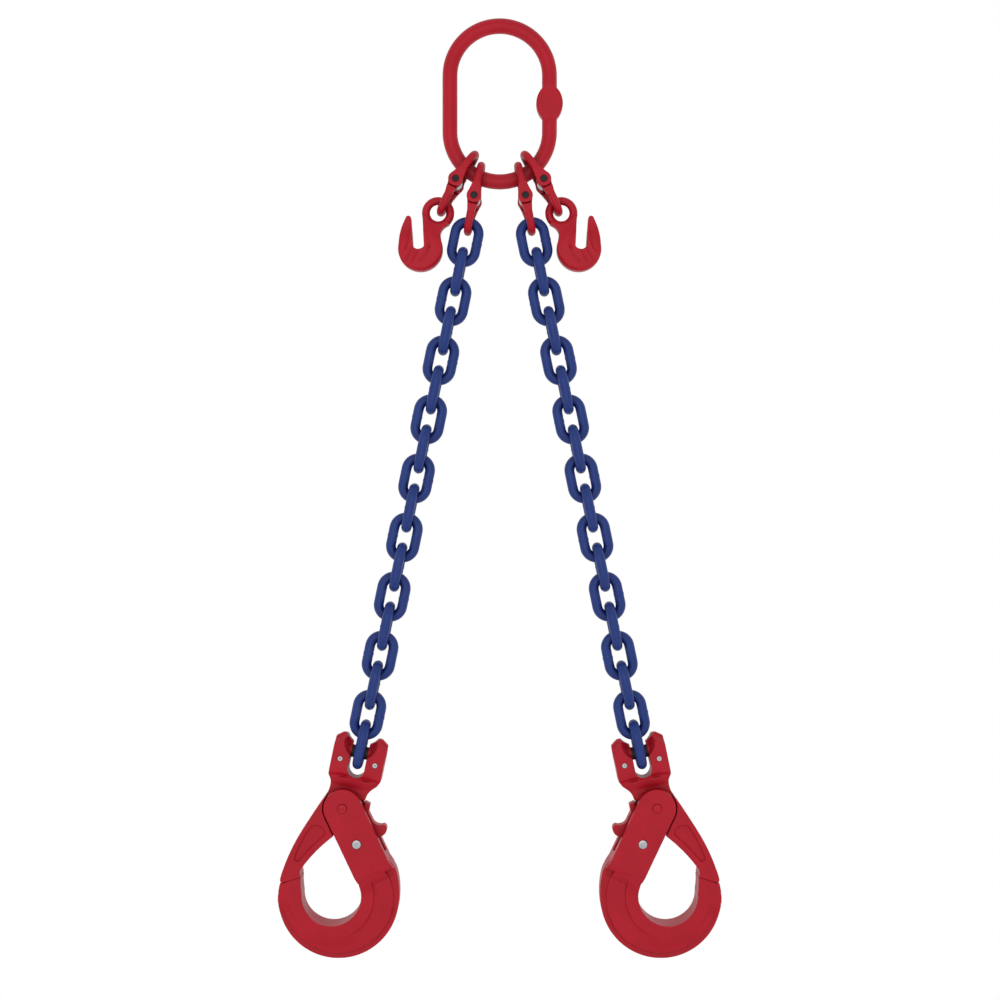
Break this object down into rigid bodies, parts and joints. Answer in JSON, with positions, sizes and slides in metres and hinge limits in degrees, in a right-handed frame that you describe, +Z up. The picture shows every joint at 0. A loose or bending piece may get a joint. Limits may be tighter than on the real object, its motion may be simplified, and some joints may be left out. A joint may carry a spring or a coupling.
{
  "type": "chain sling",
  "caption": "Chain lifting sling: oblong master link, coupling links, chain legs, eye grab hooks for shortening and clevis self-locking hooks.",
  "frame": {"origin": "middle of the master link's bar surface where the crane hook bears, on the sling's middle plane", "axes": "+Z up along the lift, +X to the right across the legs, +Y away from the viewer, through the flat of the hooks"},
  "size_m": [0.4382, 0.0384, 0.9323],
  "materials": {
    "forging_red": "glossy red powder coat",
    "chain_blue": "satin blue coat on alloy steel chain",
    "pins_steel": "zinc plated and blackened steel pins"
  },
  "bodies": {
    "master": {"master_link": "forging_red"},
    "left_chain_connector_upper": {"left_chain_connector_upper": "forging_red", "left_chain_connector_pin": "pins_steel"},
    "left_chain_connector_lower": {"left_chain_connector_lower": "forging_red"},
    "left_grab_connector_upper": {"left_grab_connector_upper": "forging_red", "left_grab_connector_pin": "pins_steel"},
    "left_grab_connector_lower": {"left_grab_connector_lower": "forging_red"},
    "left_grab_hook": {"left_grab_hook": "forging_red"},
    "left_link_01": {"left_link_01": "chain_blue"},
    "left_link_02": {"left_link_02": "chain_blue"},
    "left_link_03": {"left_link_03": "chain_blue"},
    "left_link_04": {"left_link_04": "chain_blue"},
    "left_link_05": {"left_link_05": "chain_blue"},
    "left_link_06": {"left_link_06": "chain_blue"},
    "left_link_07": {"left_link_07": "chain_blue"},
    "left_link_08": {"left_link_08": "chain_blue"},
    "left_link_09": {"left_link_09": "chain_blue"},
    "left_link_10": {"left_link_10": "chain_blue"},
    "left_link_11": {"left_link_11": "chain_blue"},
    "left_link_12": {"left_link_12": "chain_blue"},
    "left_link_13": {"left_link_13": "chain_blue"},
    "left_link_14": {"left_link_14": "chain_blue"},
    "left_link_15": {"left_link_15": "chain_blue"},
    "left_link_16": {"left_link_16": "chain_blue"},
    "left_link_17": {"left_link_17": "chain_blue"},
    "left_link_18": {"left_link_18": "chain_blue"},
    "left_hook_clevis": {"left_hook_clevis": "forging_red", "left_hook_pins": "pins_steel"},
    "left_hook_body": {"left_hook_body": "forging_red"},
    "left_hook_trigger": {"left_hook_trigger": "forging_red"},
    "right_chain_connector_upper": {"right_chain_connector_upper": "forging_red", "right_chain_connector_pin": "pins_steel"},
    "right_chain_connector_lower": {"right_chain_connector_lower": "forging_red"},
    "right_grab_connector_upper": {"right_grab_connector_upper": "forging_red", "right_grab_connector_pin": "pins_steel"},
    "right_grab_connector_lower": {"right_grab_connector_lower": "forging_red"},
    "right_grab_hook": {"right_grab_hook": "forging_red"},
    "right_link_01": {"right_link_01": "chain_blue"},
    "right_link_02": {"right_link_02": "chain_blue"},
    "right_link_03": {"right_link_03": "chain_blue"},
    "right_link_04": {"right_link_04": "chain_blue"},
    "right_link_05": {"right_link_05": "chain_blue"},
    "right_link_06": {"right_link_06": "chain_blue"},
    "right_link_07": {"right_link_07": "chain_blue"},
    "right_link_08": {"right_link_08": "chain_blue"},
    "right_link_09": {"right_link_09": "chain_blue"},
    "right_link_10": {"right_link_10": "chain_blue"},
    "right_link_11": {"right_link_11": "chain_blue"},
    "right_link_12": {"right_link_12": "chain_blue"},
    "right_link_13": {"right_link_13": "chain_blue"},
    "right_link_14": {"right_link_14": "chain_blue"},
    "right_link_15": {"right_link_15": "chain_blue"},
    "right_link_16": {"right_link_16": "chain_blue"},
    "right_link_17": {"right_link_17": "chain_blue"},
    "right_link_18": {"right_link_18": "chain_blue"},
    "right_hook_clevis": {"right_hook_clevis": "forging_red", "right_hook_pins": "pins_steel"},
    "right_hook_body": {"right_hook_body": "forging_red"},
    "right_hook_trigger": {"right_hook_trigger": "forging_red"}
  },
  "joints": [
    {"name": "left_chain_connector_swing", "type": "hinge", "parent": "master", "child": "left_chain_connector_upper", "pos_m": [-0.02053, 0, -0.14304], "axis": [0.91, 0, -0.4147], "range_deg": [-80, 80]},
    {"name": "left_chain_connector_pivot", "type": "hinge", "parent": "left_chain_connector_upper", "child": "left_chain_connector_lower", "pos_m": [-0.02527, 0, -0.16442], "axis": [0, 1, 0], "range_deg": [-15, 3]},
    {"name": "left_grab_connector_swing", "type": "hinge", "parent": "master", "child": "left_grab_connector_upper", "pos_m": [-0.03325, 0, -0.13467], "axis": [-0.7408, 0, 0.6717], "range_deg": [-80, 80]},
    {"name": "left_grab_connector_pivot", "type": "hinge", "parent": "left_grab_connector_upper", "child": "left_grab_connector_lower", "pos_m": [-0.0434, 0, -0.1482], "axis": [0, -1, 0], "range_deg": [-95, 2]},
    {"name": "left_grab_hook_swing", "type": "hinge", "parent": "left_grab_connector_lower", "child": "left_grab_hook", "pos_m": [-0.05911, 0, -0.17824], "axis": [0, 1, 0], "range_deg": [-4, 100]},
    {"name": "left_hook_swing", "type": "hinge", "parent": "left_link_18", "child": "left_hook_clevis", "pos_m": [-0.1388, 0, -0.7148], "axis": [-0.9794, 0, 0.2018], "range_deg": [-32, 32]},
    {"name": "left_hook_opening", "type": "hinge", "parent": "left_hook_clevis", "child": "left_hook_body", "pos_m": [-0.15509, 0, -0.76811], "axis": [0, -1, 0], "range_deg": [0, 30]},
    {"name": "left_hook_trigger_press", "type": "hinge", "parent": "left_hook_body", "child": "left_hook_trigger", "pos_m": [-0.14103, 0, -0.80339], "axis": [0, 1, 0], "range_deg": [0, 21], "stiffness_Nm_per_rad": 0.08},
    {"name": "right_chain_connector_swing", "type": "hinge", "parent": "master", "child": "right_chain_connector_upper", "pos_m": [0.02053, 0, -0.14304], "axis": [-0.91, 0, -0.4147], "range_deg": [-80, 80]},
    {"name": "right_chain_connector_pivot", "type": "hinge", "parent": "right_chain_connector_upper", "child": "right_chain_connector_lower", "pos_m": [0.02527, 0, -0.16442], "axis": [0, -1, 0], "range_deg": [-15, 3]},
    {"name": "right_grab_connector_swing", "type": "hinge", "parent": "master", "child": "right_grab_connector_upper", "pos_m": [0.03325, 0, -0.13467], "axis": [0.7408, 0, 0.6717], "range_deg": [-80, 80]},
    {"name": "right_grab_connector_pivot", "type": "hinge", "parent": "right_grab_connector_upper", "child": "right_grab_connector_lower", "pos_m": [0.0434, 0, -0.1482], "axis": [0, -1, 0], "range_deg": [-2, 95]},
    {"name": "right_grab_hook_swing", "type": "hinge", "parent": "right_grab_connector_lower", "child": "right_grab_hook", "pos_m": [0.05911, 0, -0.17824], "axis": [0, 1, 0], "range_deg": [-100, 4]},
    {"name": "right_hook_swing", "type": "hinge", "parent": "right_link_18", "child": "right_hook_clevis", "pos_m": [0.1388, 0, -0.7148], "axis": [0.9794, 0, 0.2018], "range_deg": [-32, 32]},
    {"name": "right_hook_opening", "type": "hinge", "parent": "right_hook_clevis", "child": "right_hook_body", "pos_m": [0.15509, 0, -0.76811], "axis": [0, 1, 0], "range_deg": [0, 30]},
    {"name": "right_hook_trigger_press", "type": "hinge", "parent": "right_hook_body", "child": "right_hook_trigger", "pos_m": [0.14103, 0, -0.80339], "axis": [0, -1, 0], "range_deg": [0, 21], "stiffness_Nm_per_rad": 0.08},
    {"name": "left_link_01_bend", "type": "hinge", "parent": "left_chain_connector_lower", "child": "left_link_01", "pos_m": [-0.03201, 0, -0.19729], "axis": [0, 1, 0], "range_deg": [-5, 5]},
    {"name": "left_link_02_bend", "type": "hinge", "parent": "left_link_01", "child": "left_link_02", "pos_m": [-0.03836, 0, -0.22719], "axis": [0.9794, 0, -0.2018], "range_deg": [-90, 90]},
    {"name": "left_link_03_bend", "type": "hinge", "parent": "left_link_02", "child": "left_link_03", "pos_m": [-0.04441, 0, -0.25657], "axis": [0, -1, 0], "range_deg": [-80, 16]},
    {"name": "left_link_04_bend", "type": "hinge", "parent": "left_link_03", "child": "left_link_04", "pos_m": [-0.05046, 0, -0.28595], "axis": [-0.9794, 0, 0.2018], "range_deg": [-90, 90]},
    {"name": "left_link_05_bend", "type": "hinge", "parent": "left_link_04", "child": "left_link_05", "pos_m": [-0.05651, 0, -0.31534], "axis": [0, -1, 0], "range_deg": [-90, 18]},
    {"name": "left_link_06_bend", "type": "hinge", "parent": "left_link_05", "child": "left_link_06", "pos_m": [-0.06257, 0, -0.34472], "axis": [0.9794, 0, -0.2018], "range_deg": [-90, 90]},
    {"name": "left_link_07_bend", "type": "hinge", "parent": "left_link_06", "child": "left_link_07", "pos_m": [-0.06862, 0, -0.3741], "axis": [0, -1, 0], "range_deg": [-90, 21]},
    {"name": "left_link_08_bend", "type": "hinge", "parent": "left_link_07", "child": "left_link_08", "pos_m": [-0.07467, 0, -0.40348], "axis": [-0.9794, 0, 0.2018], "range_deg": [-90, 90]},
    {"name": "left_link_09_bend", "type": "hinge", "parent": "left_link_08", "child": "left_link_09", "pos_m": [-0.08073, 0, -0.43287], "axis": [0, 1, 0], "range_deg": [-24, 90]},
    {"name": "left_link_10_bend", "type": "hinge", "parent": "left_link_09", "child": "left_link_10", "pos_m": [-0.08678, 0, -0.46225], "axis": [0.9794, 0, -0.2018], "range_deg": [-90, 90]},
    {"name": "left_link_11_bend", "type": "hinge", "parent": "left_link_10", "child": "left_link_11", "pos_m": [-0.09283, 0, -0.49163], "axis": [0, -1, 0], "range_deg": [-90, 28]},
    {"name": "left_link_12_bend", "type": "hinge", "parent": "left_link_11", "child": "left_link_12", "pos_m": [-0.09888, 0, -0.52102], "axis": [-0.9794, 0, 0.2018], "range_deg": [-90, 90]},
    {"name": "left_link_13_bend", "type": "hinge", "parent": "left_link_12", "child": "left_link_13", "pos_m": [-0.10494, 0, -0.5504], "axis": [0, -1, 0], "range_deg": [-90, 35]},
    {"name": "left_link_14_bend", "type": "hinge", "parent": "left_link_13", "child": "left_link_14", "pos_m": [-0.11099, 0, -0.57978], "axis": [0.9794, 0, -0.2018], "range_deg": [-90, 90]},
    {"name": "left_link_15_bend", "type": "hinge", "parent": "left_link_14", "child": "left_link_15", "pos_m": [-0.11704, 0, -0.60917], "axis": [0, 1, 0], "range_deg": [-46, 90]},
    {"name": "left_link_16_bend", "type": "hinge", "parent": "left_link_15", "child": "left_link_16", "pos_m": [-0.12309, 0, -0.63855], "axis": [-0.9794, 0, 0.2018], "range_deg": [-90, 90]},
    {"name": "left_link_17_bend", "type": "hinge", "parent": "left_link_16", "child": "left_link_17", "pos_m": [-0.12915, 0, -0.66793], "axis": [0, 1, 0], "range_deg": [-70, 90]},
    {"name": "left_link_18_bend", "type": "hinge", "parent": "left_link_17", "child": "left_link_18", "pos_m": [-0.1352, 0, -0.69732], "axis": [0.9794, 0, -0.2018], "range_deg": [-65, 65]},
    {"name": "right_link_01_bend", "type": "hinge", "parent": "right_chain_connector_lower", "child": "right_link_01", "pos_m": [0.03201, 0, -0.19729], "axis": [0, -1, 0], "range_deg": [-5, 5]},
    {"name": "right_link_02_bend", "type": "hinge", "parent": "right_link_01", "child": "right_link_02", "pos_m": [0.03836, 0, -0.22719], "axis": [-0.9794, 0, -0.2018], "range_deg": [-90, 90]},
    {"name": "right_link_03_bend", "type": "hinge", "parent": "right_link_02", "child": "right_link_03", "pos_m": [0.04441, 0, -0.25657], "axis": [0, 1, 0], "range_deg": [-80, 16]},
    {"name": "right_link_04_bend", "type": "hinge", "parent": "right_link_03", "child": "right_link_04", "pos_m": [0.05046, 0, -0.28595], "axis": [0.9794, 0, 0.2018], "range_deg": [-90, 90]},
    {"name": "right_link_05_bend", "type": "hinge", "parent": "right_link_04", "child": "right_link_05", "pos_m": [0.05651, 0, -0.31534], "axis": [0, -1, 0], "range_deg": [-18, 90]},
    {"name": "right_link_06_bend", "type": "hinge", "parent": "right_link_05", "child": "right_link_06", "pos_m": [0.06257, 0, -0.34472], "axis": [-0.9794, 0, -0.2018], "range_deg": [-90, 90]},
    {"name": "right_link_07_bend", "type": "hinge", "parent": "right_link_06", "child": "right_link_07", "pos_m": [0.06862, 0, -0.3741], "axis": [0, -1, 0], "range_deg": [-21, 90]},
    {"name": "right_link_08_bend", "type": "hinge", "parent": "right_link_07", "child": "right_link_08", "pos_m": [0.07467, 0, -0.40348], "axis": [0.9794, 0, 0.2018], "range_deg": [-90, 90]},
    {"name": "right_link_09_bend", "type": "hinge", "parent": "right_link_08", "child": "right_link_09", "pos_m": [0.08073, 0, -0.43287], "axis": [0, 1, 0], "range_deg": [-90, 24]},
    {"name": "right_link_10_bend", "type": "hinge", "parent": "right_link_09", "child": "right_link_10", "pos_m": [0.08678, 0, -0.46225], "axis": [-0.9794, 0, -0.2018], "range_deg": [-90, 90]},
    {"name": "right_link_11_bend", "type": "hinge", "parent": "right_link_10", "child": "right_link_11", "pos_m": [0.09283, 0, -0.49163], "axis": [0, -1, 0], "range_deg": [-28, 90]},
    {"name": "right_link_12_bend", "type": "hinge", "parent": "right_link_11", "child": "right_link_12", "pos_m": [0.09888, 0, -0.52102], "axis": [0.9794, 0, 0.2018], "range_deg": [-90, 90]},
    {"name": "right_link_13_bend", "type": "hinge", "parent": "right_link_12", "child": "right_link_13", "pos_m": [0.10494, 0, -0.5504], "axis": [0, 1, 0], "range_deg": [-90, 35]},
    {"name": "right_link_14_bend", "type": "hinge", "parent": "right_link_13", "child": "right_link_14", "pos_m": [0.11099, 0, -0.57978], "axis": [-0.9794, 0, -0.2018], "range_deg": [-90, 90]},
    {"name": "right_link_15_bend", "type": "hinge", "parent": "right_link_14", "child": "right_link_15", "pos_m": [0.11704, 0, -0.60917], "axis": [0, -1, 0], "range_deg": [-46, 90]},
    {"name": "right_link_16_bend", "type": "hinge", "parent": "right_link_15", "child": "right_link_16", "pos_m": [0.12309, 0, -0.63855], "axis": [0.9794, 0, 0.2018], "range_deg": [-90, 90]},
    {"name": "right_link_17_bend", "type": "hinge", "parent": "right_link_16", "child": "right_link_17", "pos_m": [0.12915, 0, -0.66793], "axis": [0, 1, 0], "range_deg": [-90, 70]},
    {"name": "right_link_18_bend", "type": "hinge", "parent": "right_link_17", "child": "right_link_18", "pos_m": [0.1352, 0, -0.69732], "axis": [-0.9794, 0, -0.2018], "range_deg": [-65, 65]}
  ],
  "couplings": [
    {"joint": "left_hook_trigger_press", "follows": "left_hook_opening", "ratio": 0.7},
    {"joint": "right_hook_trigger_press", "follows": "right_hook_opening", "ratio": 0.7}
  ]
}
